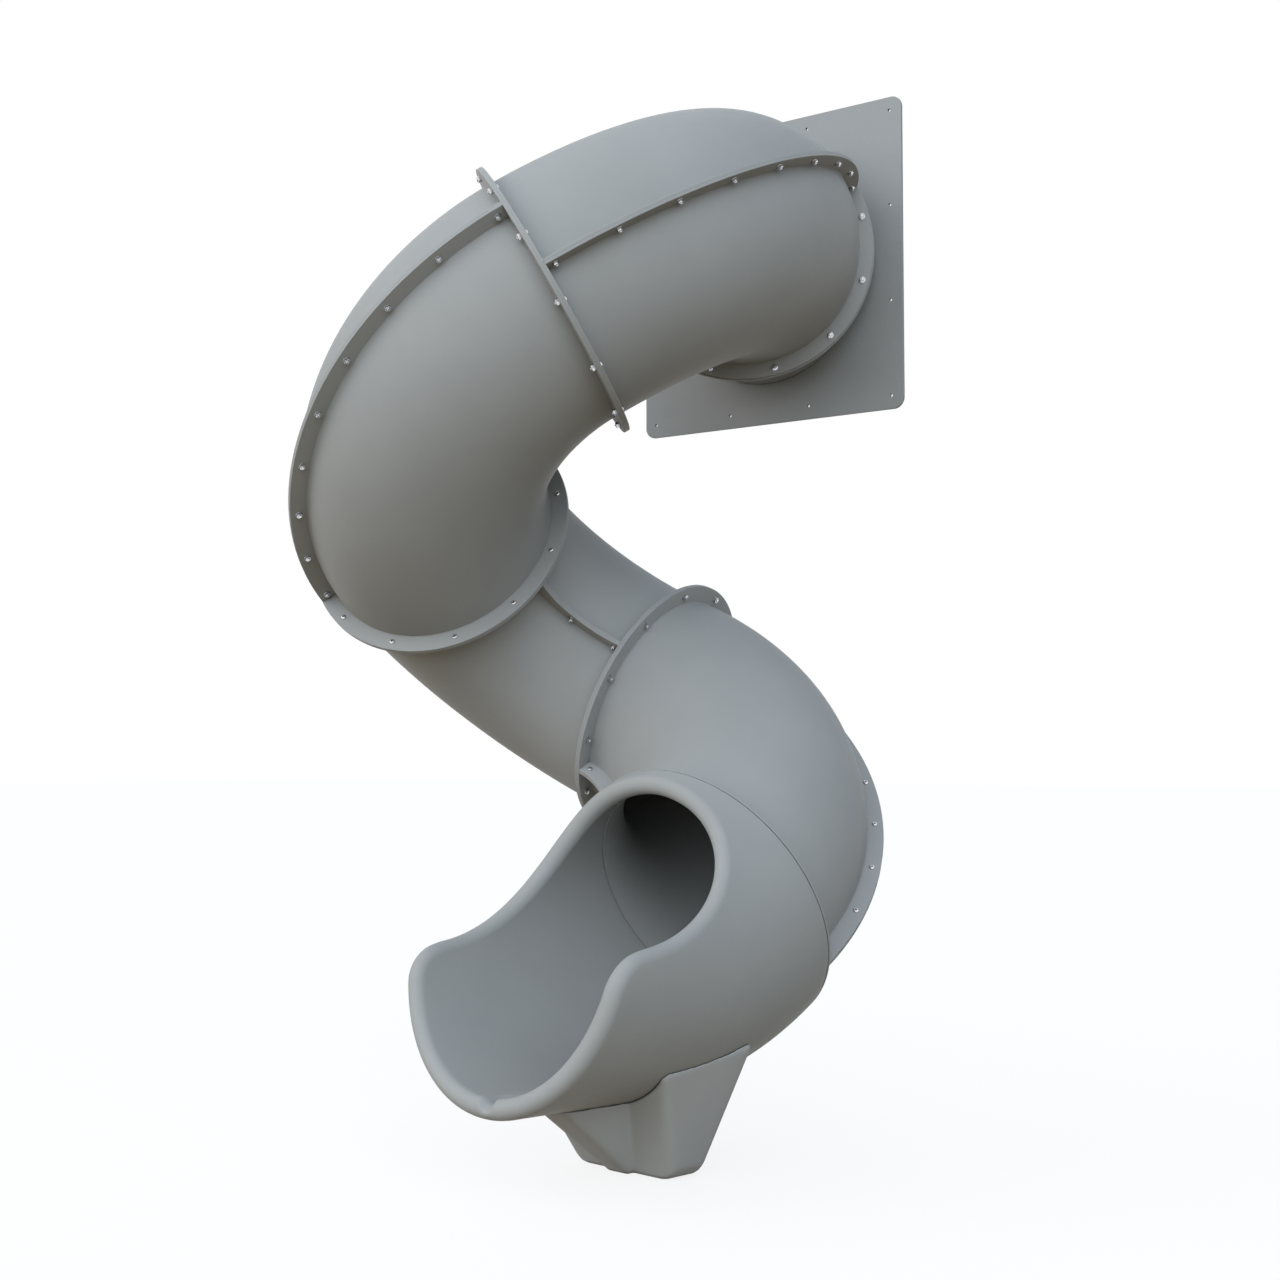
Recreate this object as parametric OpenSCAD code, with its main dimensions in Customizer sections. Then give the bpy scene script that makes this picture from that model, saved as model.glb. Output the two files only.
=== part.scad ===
// Spiral tube slide: entry panel, four half-shell elbows and a scooped exit on a foot.
// Millimetres, +Z up. The origin is the middle of the foot's base, on the ground.
// The entry panel stands in a plane of constant Y, and +Y points into the tower.

/* [Tube] */
// Clear diameter inside the tube
tube_bore = 750; // [700:1:800]
// Thickness of a moulded shell
wall = 8; // [6:0.5:10]

/* [Flanges] */
// How far a flange stands out from the tube
flange_width = 54; // [48:1:64]
// How far a seam flange stays inside the rim of the ring flanges
seam_flange_inset = 1; // [0.5:0.5:4]
// Thickness of one flange, two of them meet at a joint
flange_t = 8.5; // [7:0.5:11]
// Distance of the bolt line from the outside of the tube
bolt_offset = 26; // [22:1:30]
// Bolts round a ring joint
ring_bolt_count = 12; // [12:12:24]
// Bolts along the outside seam of an elbow
outer_seam_bolts = 9; // [5:1:11]
// Bolts along the inside seam of an elbow
inner_seam_bolts = 3; // [2:1:4]
// Distance of the first seam bolt from the ring joint
seam_end_gap = 35; // [32:1:42]

/* [Bends] */
// Bend radius of an elbow, at the middle of the tube
bend_r = 664; // [640:1:700]
// Angle of one elbow
bend_angle = 90; // [88:0.5:91]
// Bend radius of the short entry bend
entry_bend_r = 549; // [520:1:620]
// Angle of the entry bend
entry_bend_angle = 35; // [28:1:40]

/* [Entry panel] */
// Side of the square panel
panel_side = 1050; // [1000:5:1200]
// Thickness of the panel
panel_t = 10; // [9:0.5:19]
// Radius of the panel's corners
panel_corner_r = 38; // [20:1:60]
// Distance of the fixing holes from the panel's edge
panel_hole_inset = 45; // [35:1:60]
// Fixing holes along each side of the panel
panel_holes_per_side = 4; // [4:1:6]
// Diameter of the panel's fixing holes
panel_hole_d = 10; // [8:0.5:13]
// Gap between the entry tube and its hole in the panel
panel_fit = 0.3; // [0.2:0.1:0.6]

/* [Exit] */
// Clear diameter inside the exit
exit_bore = 758; // [752:1:790]
// Thickness of the exit's double wall
exit_wall = 58; // [54:1:64]
// Bend radius of the exit, where it levels out
exit_bend_r = 820; // [780:5:880]
// Angle through which the exit levels out
exit_bend_angle = 30; // [28:1:31]
// Length of the level floor, from the end of the bend
exit_straight = 449; // [420:1:500]
// Height of the sliding surface above the ground, where it becomes level
exit_height = 261; // [240:1:300]
// How far the mouth's top edge lies behind the start of the level floor
mouth_back = 146; // [120:1:160]
// Height above the middle of the exit at which the mouth's top edge starts to curve
mouth_curve_h = 400; // [385:1:410]
// How far the upper end of the mouth's curve is drawn straight down
mouth_upper_pull = 160; // [120:5:200]
// How far the lower end of the mouth's curve is drawn along its side edges
mouth_lower_pull = 270; // [200:5:290]
// Where the mouth's curve meets its side edges, from the start of the level floor
mouth_side_start = 255; // [240:1:280]
// Height of the mouth's side edges above the middle of the exit
mouth_side_h = 8; // [-30:1:30]
// How far the side edges fall towards the end of the mouth
mouth_side_fall = 25; // [15:1:35]
// How far the mouth's side edges stop short of the floor's end
mouth_lean = 95; // [60:1:120]
// Radius of the corners between the mouth's side edges and its end
mouth_corner_r = 95; // [60:1:110]
// Radius of the drain groove at the end of the floor
drain_r = 20; // [12:1:26]
// Length of the drain groove
drain_len = 90; // [60:5:140]

/* [Foot] */
// How far the middle of the foot's base lies behind the start of the level floor
foot_set_back = 133; // [120:1:150]
// Width of the foot near the ground
foot_base_width = 428; // [410:2:450]
// Length of the foot near the ground, from its back to its shoulders
foot_base_len = 144; // [130:2:150]
// Width of the foot's back, where it meets the exit
foot_back_width = 644; // [600:2:680]
// Width of the foot's shoulders, where they meet the exit
foot_shoulder_width = 580; // [540:2:620]
// How far the foot's back leans out behind the start of the level floor
foot_back_reach = 262; // [240:2:280]
// How far the foot's shoulders lean out in front of the start of the level floor
foot_shoulder_reach = 62; // [40:2:80]
// How far the foot's nose leans out in front of the start of the level floor
nose_reach = 218; // [200:2:240]
// Width of the nose's tip, where it meets the exit
nose_tip_width = 132; // [110:2:160]
// Width of the nose's root, where it meets the exit
nose_root_width = 208; // [190:2:240]
// How far the nose's front lies in front of the base's middle, on the ground
nose_base_reach = 97; // [90:1:110]
// Width of the nose near the ground
nose_base_width = 110; // [90:2:140]
// Rounding of the foot's edges
foot_edge_r = 26; // [20:1:30]
// Rounding of the foot's sides towards the ground
foot_corner_r = 70; // [50:2:75]
// Thickness of the foot's moulded wall
foot_wall = 8; // [6:0.5:10]
// Distance between the two anchor holes, across the foot
anchor_pitch = 260; // [240:5:280]
// Diameter of the anchor holes
anchor_hole_d = 13; // [11:1:15]
// Diameter of the access hole in the foot's floor
access_hole_d = 56; // [40:2:60]
// Angle between a foot bolt and straight down, about the middle of the exit
foot_bolt_spread_angle = 20; // [16:1:22]
// Angle along the exit's bend from the level floor back to the front foot bolts
foot_bolt_front_angle = 1.5; // [1:0.5:3]
// Angle along the exit's bend from the level floor back to the rear foot bolts
foot_bolt_back_angle = 8; // [6:0.5:9]
// Gap between the foot's saddle and the exit
saddle_gap = 0.3; // [0.2:0.1:0.5]

/* [Fasteners] */
// Diameter of the joint bolts
bolt_d = 10; // [8:1:12]
// Extra diameter of a bolt hole over its bolt
hole_clearance = 1; // [0.5:0.5:2]
// Diameter of a bolt's button head
head_d = 17.5; // [16:0.5:20]
// Diameter of the flat top of a bolt's button head
head_top_d = 10.8; // [9:0.2:13]
// Height of a bolt's button head
head_h = 5.5; // [4:0.5:6.5]
// Width of a bolt's hexagon socket across its flats
socket_af = 6; // [5:0.5:7]
// Depth of a bolt's hexagon socket
socket_depth = 3.2; // [2:0.2:3.6]
// Width of a nut across its flats
nut_af = 17; // [16:1:19]
// Height of a nut
nut_h = 8; // [6:0.5:10]
// Outside diameter of a washer
washer_d = 21; // [20:0.5:24]
// Thickness of a washer
washer_t = 2; // [1.5:0.5:2.5]
// How far a bolt stands out of its nut
bolt_stand_out = 3; // [1:0.5:5]
// Gap all round between a thread and its nut, insert or pilot hole
thread_gap = 0.1; // [0.05:0.05:0.2]
// Outside diameter of a threaded insert
insert_d = 15; // [14:0.5:18]
// Length of a threaded insert
insert_len = 20; // [18:1:25]
// Length of a bolt in its insert
insert_grip = 16; // [12:1:17]
// Diameter of the entry bend's countersunk screws
screw_d = 5; // [4:0.5:5.5]
// Diameter of a countersunk screw's head
screw_head_d = 10; // [9:0.5:12]
// Width of a countersunk screw's hexagon socket across its flats
screw_socket_af = 3; // [2:0.5:3]
// Depth of a countersunk screw's hexagon socket
screw_socket_depth = 1.6; // [1:0.1:2]
// Panel left in front of a countersunk screw's point
screw_cover = 3; // [2:0.5:4]

/* [Hidden] */
$fn = 96;
small_fn = 32; // facets round a fastener
edge_fn = 32; // facets round an edge of the foot
saddle_fn = 240; // facets round the foot's saddle
corner_angles = [0, 20, 40, 60]; // where balls round off the foot's sides towards the ground
over = 1; // how far a cutter reaches past the face that it cuts
over_angle = 0.25; // how far a curved cutter reaches past the end of its bend
curve_steps = 20; // straight pieces in the mouth's curve
corner_steps = 8; // straight pieces in a corner of the mouth
round_share = 0.56; // share of the way to its corner that makes a curve nearly round
mouth_overrun = 20; // how far the mouth's cut runs on below the exit

shell_colour = [0.55, 0.56, 0.56];
panel_colour = [0.58, 0.59, 0.60];
exit_colour = [0.58, 0.60, 0.61];
steel_colour = [0.80, 0.81, 0.82];
brass_colour = [0.72, 0.60, 0.36];

bore_r = tube_bore / 2;
tube_r = bore_r + wall;
flange_r = tube_r + flange_width;
seam_flange_r = flange_r - seam_flange_inset;
bolt_r = tube_r + bolt_offset;
hole_d = bolt_d + hole_clearance;
ring_step = 360 / ring_bolt_count;
joint_bolt_len = 2 * flange_t + washer_t + nut_h + bolt_stand_out;
exit_r = exit_bore / 2 + exit_wall;
clear_out = exit_straight + exit_r;
panel_hole_line = panel_side / 2 - panel_hole_inset;
panel_hole_pitch = 2 * panel_hole_line / (panel_holes_per_side - 1);
entry_back = panel_t + flange_t;
foot_clamp = foot_wall + saddle_gap;

// Each module is turned about the tube by whole steps of 30 degrees from the one before it,
// so that the seams of both stay midway between the bolts of their joint.
turn_angle_1 = -150;
turn_angle_2 = 30;
turn_angle_3 = 60;
turn_angle_4 = 60;
turn_angle_exit = -60;

// A frame holds a point on the tube's middle line, the way along it and the way it bends.
function spin(v, axis, angle) =
    v * cos(angle) + cross(axis, v) * sin(angle) + axis * (axis * v) * (1 - cos(angle));
function turned(frame, angle) = [frame[0], frame[1], spin(frame[2], frame[1], angle)];
function after_bend(frame, r, angle) = [
    frame[0] + r * (sin(angle) * frame[1] + (1 - cos(angle)) * frame[2]),
    cos(angle) * frame[1] + sin(angle) * frame[2],
    cos(angle) * frame[2] - sin(angle) * frame[1]
];
function after_elbow(frame) = after_bend(frame, bend_r, bend_angle);

// The frames from the middle of the panel's front face down to the level floor.
entry_start = [[0, 0, 0], [0, -1, 0], [1, 0, 0]];
entry_end = after_bend(entry_start, entry_bend_r, entry_bend_angle);
elbow_1_start = turned(entry_end, turn_angle_1);
elbow_2_start = turned(after_elbow(elbow_1_start), turn_angle_2);
elbow_3_start = turned(after_elbow(elbow_2_start), turn_angle_3);
elbow_4_start = turned(after_elbow(elbow_3_start), turn_angle_4);
exit_joint = after_elbow(elbow_4_start);
exit_start = turned(exit_joint, turn_angle_exit);
exit_level = after_bend(exit_start, exit_bend_r, exit_bend_angle);
// The level floor's frame seen the other way, so that the exit is drawn back up its bend.
exit_back = [exit_level[0], -exit_level[1], exit_level[2]];
elbow_starts = [elbow_1_start, elbow_2_start, elbow_3_start, elbow_4_start];
// The bolts of joint N sit in joint_frames[N - 1], the exit's joint comes last.
joint_frames = [
    elbow_1_start, after_elbow(elbow_1_start), after_elbow(elbow_2_start),
    after_elbow(elbow_3_start), exit_joint
];

// The foot's base lies level on the ground below the exit.
ground_z = exit_level[0].z - exit_bore / 2 - exit_height;
exit_side = cross(exit_level[2], exit_level[1]);
foot_along = [exit_level[1].x, exit_level[1].y, 0] / norm([exit_level[1].x, exit_level[1].y]);
foot_across = cross([0, 0, 1], foot_along);
base_middle = [exit_level[0].x, exit_level[0].y, ground_z] - foot_set_back * foot_along;

// Drop of the exit's underside below its level middle line.
function underside(along, across) =
    let (below = sqrt(exit_r * exit_r - across * across))
    along < 0 ? sqrt(pow(exit_bend_r + below, 2) - along * along) - exit_bend_r : below;
// Middle of a rounded corner of the foot at a height, which is zero where it rests on the ground.
function base_corner(along, across, height = 0) =
    base_middle + along * foot_along + across * foot_across
    + [0, 0, height + foot_edge_r * cos(180 / edge_fn)];
// Middle of a rounded corner of the foot, just inside the exit's underside.
function saddle_corner(along, across) =
    exit_level[0] + along * exit_level[1] + across * exit_side
    - (underside(along, across) - foot_edge_r / 2) * exit_level[2];

// Corners of the foot's body and of its nose, each the same on both sides of the foot.
corner_extra_r = foot_corner_r - foot_edge_r;
body_corners = [for (side = [-1, 1])
    each [
        for (end = [-1, 1], angle = corner_angles)
            base_corner(end * (foot_base_len / 2 - foot_edge_r),
                side * (foot_base_width / 2 - foot_corner_r + corner_extra_r * sin(angle)),
                corner_extra_r * (1 - cos(angle))),
        saddle_corner(foot_edge_r - foot_back_reach, side * (foot_back_width / 2 - foot_edge_r)),
        saddle_corner(foot_shoulder_reach - foot_edge_r,
            side * (foot_shoulder_width / 2 - foot_edge_r))
    ]];
nose_corners = [for (side = [-1, 1])
    each [
        base_corner(0, side * (nose_base_width / 2 - foot_edge_r)),
        base_corner(nose_base_reach - foot_edge_r, side * (nose_base_width / 2 - foot_edge_r)),
        saddle_corner(-foot_shoulder_reach, side * (nose_root_width / 2 - foot_edge_r)),
        saddle_corner(foot_shoulder_reach - foot_edge_r,
            side * (nose_root_width / 2 - foot_edge_r)),
        saddle_corner(nose_reach - foot_edge_r, side * (nose_tip_width / 2 - foot_edge_r))
    ]];

// Points of a cubic curve from a to d, that leaves towards b and arrives from c.
function curve(a, b, c, d, steps) = [for (k = [0:steps])
    let (t = k / steps, s = 1 - t)
    s * s * s * a + 3 * s * s * t * b + 3 * s * t * t * c + t * t * t * d];

// Side view of the mouth, from the top edge along the side edge and down the end.
mouth_top = [-mouth_back, mouth_curve_h];
mouth_side = [mouth_side_start, mouth_side_h];
mouth_corner = [exit_straight - mouth_lean, mouth_side_h - mouth_side_fall];
mouth_end = [exit_straight, -exit_r];
mouth_way_in = (mouth_corner - mouth_side) / norm(mouth_corner - mouth_side);
mouth_way_out = (mouth_end - mouth_corner) / norm(mouth_end - mouth_corner);
corner_reach = mouth_corner_r * tan(acos(mouth_way_in * mouth_way_out) / 2);
corner_in = mouth_corner - corner_reach * mouth_way_in;
corner_out = mouth_corner + corner_reach * mouth_way_out;
mouth_outline = concat(
    curve(mouth_top, mouth_top - [0, mouth_upper_pull],
        mouth_side - mouth_lower_pull * mouth_way_in, mouth_side, curve_steps),
    curve(corner_in, corner_in + round_share * (mouth_corner - corner_in),
        corner_out + round_share * (mouth_corner - corner_out), corner_out, corner_steps),
    [mouth_end + mouth_overrun * mouth_way_out, [clear_out, -clear_out],
    [clear_out, clear_out], [mouth_top.x, clear_out]]
);

// The matrix that puts a bend drawn about Z onto its frame, starting along Y.
function bend_place(frame, r) =
    let (out = -frame[2], way = frame[1], up = cross(out, way), mid = frame[0] + r * frame[2])
    [[out.x, way.x, up.x, mid.x], [out.y, way.y, up.y, mid.y], [out.z, way.z, up.z, mid.z]];
// The matrix that puts a ring drawn about Z onto its frame, X towards the outside of the bend.
function ring_place(frame) =
    let (out = -frame[2], way = frame[1], side = cross(way, out), mid = frame[0])
    [[out.x, side.x, way.x, mid.x], [out.y, side.y, way.y, mid.y], [out.z, side.z, way.z, mid.z]];
// Everything is drawn from the middle of the panel and then set on the ground.
module in_place() {
    translate(-base_middle) children();
}

// A bolt about Z, its head below and its joint face at zero.
module bolt(clamp, length) {
    difference() {
        union() {
            translate([0, 0, -clamp - head_h])
                cylinder(h = head_h, d1 = head_top_d, d2 = head_d, $fn = small_fn);
            translate([0, 0, -clamp]) cylinder(h = length, d = bolt_d, $fn = small_fn);
        }
        translate([0, 0, -clamp - head_h - over])
            cylinder(h = socket_depth + over, d = socket_af / cos(30), $fn = 6);
    }
}

module washer(clamp) {
    difference() {
        translate([0, 0, clamp]) cylinder(h = washer_t, d = washer_d, $fn = small_fn);
        cylinder(h = clamp + washer_t + over, d = hole_d, $fn = small_fn);
    }
}

module nut(clamp) {
    difference() {
        translate([0, 0, clamp + washer_t]) cylinder(h = nut_h, d = nut_af / cos(30), $fn = 6);
        cylinder(h = clamp + washer_t + nut_h + over, d = bolt_d + 2 * thread_gap, $fn = small_fn);
    }
}

module nut_and_washer(clamp) {
    washer(clamp);
    nut(clamp);
}

module insert() {
    difference() {
        cylinder(h = insert_len, d = insert_d, $fn = small_fn);
        translate([0, 0, -over])
            cylinder(h = insert_len + 2 * over, d = bolt_d + 2 * thread_gap, $fn = small_fn);
    }
}

module insert_pocket() {
    translate([0, 0, -over]) cylinder(h = insert_len + over, d = insert_d, $fn = small_fn);
}

module bolt_hole(depth) {
    translate([0, 0, -depth]) cylinder(h = 2 * depth, d = hole_d, $fn = small_fn);
}

// A countersunk screw about Z, driven from behind the panel, or its hole with a gap all round.
module screw(gap) {
    head_depth = (screw_head_d - screw_d) / 2;
    translate([0, 0, -entry_back]) {
        cylinder(h = head_depth, d1 = screw_head_d + 2 * gap, d2 = screw_d + 2 * gap,
            $fn = small_fn);
        cylinder(h = entry_back - screw_cover, d = screw_d + 2 * gap, $fn = small_fn);
    }
}

// Copies round a ring joint, midway between the seams.
module round_ring(frame) {
    multmatrix(ring_place(frame))
        for (k = [0:ring_bolt_count - 1])
            rotate([0, 0, ring_step * (k + 0.5)]) translate([bolt_r, 0, 0]) children();
}

// Copies along one seam of an elbow, with Z from its upper half to its lower half.
module along_seam(frame, line_r, count) {
    end_angle = seam_end_gap / line_r * 180 / PI;
    multmatrix(bend_place(frame, bend_r))
        for (k = [0:count - 1])
            rotate([0, 0, end_angle + (bend_angle - 2 * end_angle) * k / (count - 1)])
                translate([line_r, 0, 0]) children();
}

module along_seams(frame) {
    along_seam(frame, bend_r + bolt_r, outer_seam_bolts) children();
    along_seam(frame, bend_r - bolt_r, inner_seam_bolts) children();
}

// Copies at the four bolts that hold the foot, with Z into the exit's wall.
module at_foot_bolts() {
    for (angle = [foot_bolt_back_angle, foot_bolt_front_angle], side = [-1, 1])
        multmatrix(ring_place(after_bend(exit_start, exit_bend_r, exit_bend_angle - angle)))
            rotate([0, 0, side * foot_bolt_spread_angle])
                translate([exit_r, 0, 0]) rotate([0, -90, 0]) children();
}

// Copies at the holes round the panel's edge, with Z out of its front face.
module at_panel_holes() {
    last = panel_holes_per_side - 1;
    for (i = [0:last], k = [0:last])
        if (i == 0 || i == last || k == 0 || k == last)
            translate([i * panel_hole_pitch - panel_hole_line, 0,
                k * panel_hole_pitch - panel_hole_line])
                rotate([90, 0, 0]) children();
}

// Keeps the half plane of positive Y.
module upper_half_plane() {
    difference() {
        children();
        translate([-flange_r - over, -flange_r - over])
            square([2 * (flange_r + over), flange_r + over]);
    }
}

// Half an elbow with its bore still filled, on positive Z.
module filled_half() {
    rotate_extrude(angle = bend_angle) translate([bend_r, 0]) upper_half_plane() {
        circle(r = tube_r);
        translate([-seam_flange_r, 0]) square([2 * seam_flange_r, flange_t]);
    }
    translate([bend_r, flange_t, 0]) rotate([90, 0, 0])
        linear_extrude(flange_t) upper_half_plane() circle(r = flange_r);
    rotate([0, 0, bend_angle]) translate([bend_r, 0, 0]) rotate([90, 0, 0])
        linear_extrude(flange_t) upper_half_plane() circle(r = flange_r);
}

// The bore of a bend, from a little before its start to a little past its end.
module bore_along(r, angle) {
    rotate([0, 0, -over_angle]) rotate_extrude(angle = angle + 2 * over_angle)
        translate([r, 0]) circle(r = bore_r);
}

// Half an elbow with its bolt holes, the lower half with side = 1 and the upper with side = -1.
module elbow_half(number, side) {
    start = elbow_starts[number - 1];
    color(shell_colour) in_place() difference() {
        multmatrix(bend_place(start, bend_r)) scale([1, 1, side]) filled_half();
        multmatrix(bend_place(start, bend_r)) bore_along(bend_r, bend_angle);
        round_ring(joint_frames[number - 1]) bolt_hole(flange_t + over);
        round_ring(joint_frames[number]) bolt_hole(flange_t + over);
        along_seams(start) bolt_hole(flange_t + over);
    }
}

module joint_bolts(number) {
    color(steel_colour) in_place() round_ring(joint_frames[number - 1])
        bolt(flange_t, joint_bolt_len);
}

module joint_nuts(number) {
    color(steel_colour) in_place() round_ring(joint_frames[number - 1]) nut_and_washer(flange_t);
}

module seam_bolts(number) {
    color(steel_colour) in_place() along_seams(elbow_starts[number - 1])
        bolt(flange_t, joint_bolt_len);
}

module seam_nuts(number) {
    color(steel_colour) in_place() along_seams(elbow_starts[number - 1]) nut_and_washer(flange_t);
}

// The square panel that closes the tower's opening round the tube.
module entry_panel() {
    flat = panel_side - 2 * panel_corner_r;
    corner = panel_side / 2 - panel_corner_r;
    color(panel_colour) in_place() difference() {
        translate([0, panel_t, 0]) rotate([90, 0, 0]) linear_extrude(panel_t) difference() {
            union() {
                square([flat, panel_side], center = true);
                square([panel_side, flat], center = true);
                for (x = [-corner, corner], y = [-corner, corner])
                    translate([x, y]) circle(r = panel_corner_r);
            }
            circle(r = tube_r + panel_fit);
        }
        at_panel_holes() translate([0, 0, -panel_t - over])
            cylinder(h = panel_t + 2 * over, d = panel_hole_d, $fn = small_fn);
        round_ring(entry_start) screw(thread_gap);
    }
}

// The short bend that starts behind the panel and carries the first elbow.
module entry_bend() {
    color(shell_colour) in_place() difference() {
        union() {
            multmatrix(ring_place(entry_start)) translate([0, 0, -entry_back]) {
                cylinder(h = entry_back, r = tube_r);
                cylinder(h = flange_t, r = flange_r);
            }
            multmatrix(bend_place(entry_start, entry_bend_r)) {
                rotate_extrude(angle = entry_bend_angle) translate([entry_bend_r, 0])
                    circle(r = tube_r);
                rotate([0, 0, entry_bend_angle]) translate([entry_bend_r, 0, 0])
                    rotate([90, 0, 0]) cylinder(h = flange_t, r = flange_r);
            }
        }
        multmatrix(ring_place(entry_start)) translate([0, 0, -entry_back - over])
            cylinder(h = entry_back + over, r = bore_r);
        multmatrix(bend_place(entry_start, entry_bend_r))
            rotate_extrude(angle = entry_bend_angle + over_angle) translate([entry_bend_r, 0])
                circle(r = bore_r);
        round_ring(joint_frames[0]) bolt_hole(flange_t + over);
        round_ring(entry_start) screw(thread_gap);
    }
}

module entry_screws() {
    color(steel_colour) in_place() round_ring(entry_start) difference() {
        screw(0);
        translate([0, 0, -entry_back - over])
            cylinder(h = over + screw_socket_depth, d = screw_socket_af / cos(30), $fn = 6);
    }
}

// The exit's outside or inside filled in, from its joint down to past the end of its floor.
module exit_filled(r, past) {
    multmatrix(bend_place(exit_back, exit_bend_r)) {
        rotate_extrude(angle = exit_bend_angle) translate([exit_bend_r, 0]) circle(r = r);
        translate([exit_bend_r, 0, 0]) rotate([90, 0, 0]) cylinder(h = exit_straight + past, r = r);
    }
}

// The double-walled exit, open on top in front of its mouth.
module exit_chute() {
    color(exit_colour) in_place() difference() {
        exit_filled(exit_r, over);
        exit_filled(exit_bore / 2, 2 * over);
        multmatrix(bend_place(exit_back, exit_bend_r)) {
            linear_extrude(2 * (exit_r + over), center = true)
                polygon([for (p = mouth_outline) [exit_bend_r - p.y, -p.x]]);
            translate([exit_bend_r + exit_bore / 2, drain_len - exit_straight, 0])
                rotate([90, 0, 0]) cylinder(h = drain_len + over, r = drain_r);
        }
        round_ring(exit_joint) insert_pocket();
        at_foot_bolts() insert_pocket();
    }
}

// The foot's outline as two rounded blocks, drawn in by a given amount.
module foot_blocks(inward) {
    for (corners = [body_corners, nose_corners])
        hull() for (corner = corners)
            translate(corner) sphere(r = foot_edge_r - inward, $fn = edge_fn);
}

// The hollow foot that carries the exit, with anchor holes and an access hole in its floor.
module exit_foot() {
    color(exit_colour) in_place() difference() {
        foot_blocks(0);
        exit_filled(exit_r + saddle_gap, over, $fn = saddle_fn);
        difference() {
            foot_blocks(foot_wall);
            exit_filled(exit_r + saddle_gap + foot_wall, over, $fn = saddle_fn);
        }
        translate(base_middle) multmatrix([
            [foot_along.x, foot_across.x, 0], [foot_along.y, foot_across.y, 0], [0, 0, 1]]) {
            translate([0, 0, -over]) cylinder(h = foot_edge_r, d = access_hole_d);
            for (side = [-1, 1])
                translate([0, side * anchor_pitch / 2, -over])
                    cylinder(h = foot_edge_r, d = anchor_hole_d, $fn = small_fn);
        }
        at_foot_bolts() bolt_hole(foot_clamp + over);
    }
}

module exit_joint_bolts() {
    color(steel_colour) in_place() round_ring(exit_joint) bolt(flange_t, flange_t + insert_grip);
}

module exit_joint_inserts() {
    color(brass_colour) in_place() round_ring(exit_joint) insert();
}

module foot_bolts() {
    color(steel_colour) in_place() at_foot_bolts() bolt(foot_clamp, foot_clamp + insert_grip);
}

module foot_inserts() {
    color(brass_colour) in_place() at_foot_bolts() insert();
}

module elbow_1_upper() { elbow_half(1, -1); }
module elbow_1_lower() { elbow_half(1, 1); }
module elbow_2_upper() { elbow_half(2, -1); }
module elbow_2_lower() { elbow_half(2, 1); }
module elbow_3_upper() { elbow_half(3, -1); }
module elbow_3_lower() { elbow_half(3, 1); }
module elbow_4_upper() { elbow_half(4, -1); }
module elbow_4_lower() { elbow_half(4, 1); }
module joint_1_bolts() { joint_bolts(1); }
module joint_1_nuts() { joint_nuts(1); }
module joint_2_bolts() { joint_bolts(2); }
module joint_2_nuts() { joint_nuts(2); }
module joint_3_bolts() { joint_bolts(3); }
module joint_3_nuts() { joint_nuts(3); }
module joint_4_bolts() { joint_bolts(4); }
module joint_4_nuts() { joint_nuts(4); }
module seam_1_bolts() { seam_bolts(1); }
module seam_1_nuts() { seam_nuts(1); }
module seam_2_bolts() { seam_bolts(2); }
module seam_2_nuts() { seam_nuts(2); }
module seam_3_bolts() { seam_bolts(3); }
module seam_3_nuts() { seam_nuts(3); }
module seam_4_bolts() { seam_bolts(4); }
module seam_4_nuts() { seam_nuts(4); }

entry_panel();
entry_bend();
entry_screws();
elbow_1_upper();
elbow_1_lower();
elbow_2_upper();
elbow_2_lower();
elbow_3_upper();
elbow_3_lower();
elbow_4_upper();
elbow_4_lower();
exit_chute();
exit_foot();
joint_1_bolts();
joint_1_nuts();
joint_2_bolts();
joint_2_nuts();
joint_3_bolts();
joint_3_nuts();
joint_4_bolts();
joint_4_nuts();
exit_joint_bolts();
exit_joint_inserts();
seam_1_bolts();
seam_1_nuts();
seam_2_bolts();
seam_2_nuts();
seam_3_bolts();
seam_3_nuts();
seam_4_bolts();
seam_4_nuts();
foot_bolts();
foot_inserts();
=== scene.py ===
"""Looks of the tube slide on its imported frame: mouldings, fasteners, materials, light and camera."""
import math

import bmesh
import bpy
import numpy as np
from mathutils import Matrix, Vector


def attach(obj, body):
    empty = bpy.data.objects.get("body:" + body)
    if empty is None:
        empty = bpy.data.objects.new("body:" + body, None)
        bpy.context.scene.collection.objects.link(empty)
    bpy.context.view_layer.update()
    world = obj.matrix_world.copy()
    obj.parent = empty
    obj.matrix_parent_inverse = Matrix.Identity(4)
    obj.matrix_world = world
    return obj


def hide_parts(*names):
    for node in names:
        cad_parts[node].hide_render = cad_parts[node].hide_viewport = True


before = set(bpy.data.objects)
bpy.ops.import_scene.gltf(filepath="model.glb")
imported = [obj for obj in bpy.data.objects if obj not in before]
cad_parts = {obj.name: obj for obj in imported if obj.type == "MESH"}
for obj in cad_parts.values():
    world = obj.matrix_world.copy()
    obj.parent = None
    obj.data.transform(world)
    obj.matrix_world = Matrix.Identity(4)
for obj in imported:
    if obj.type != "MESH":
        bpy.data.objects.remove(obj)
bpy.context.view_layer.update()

MM = 0.001  # sizes are in millimetres, and Blender's are in metres

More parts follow.
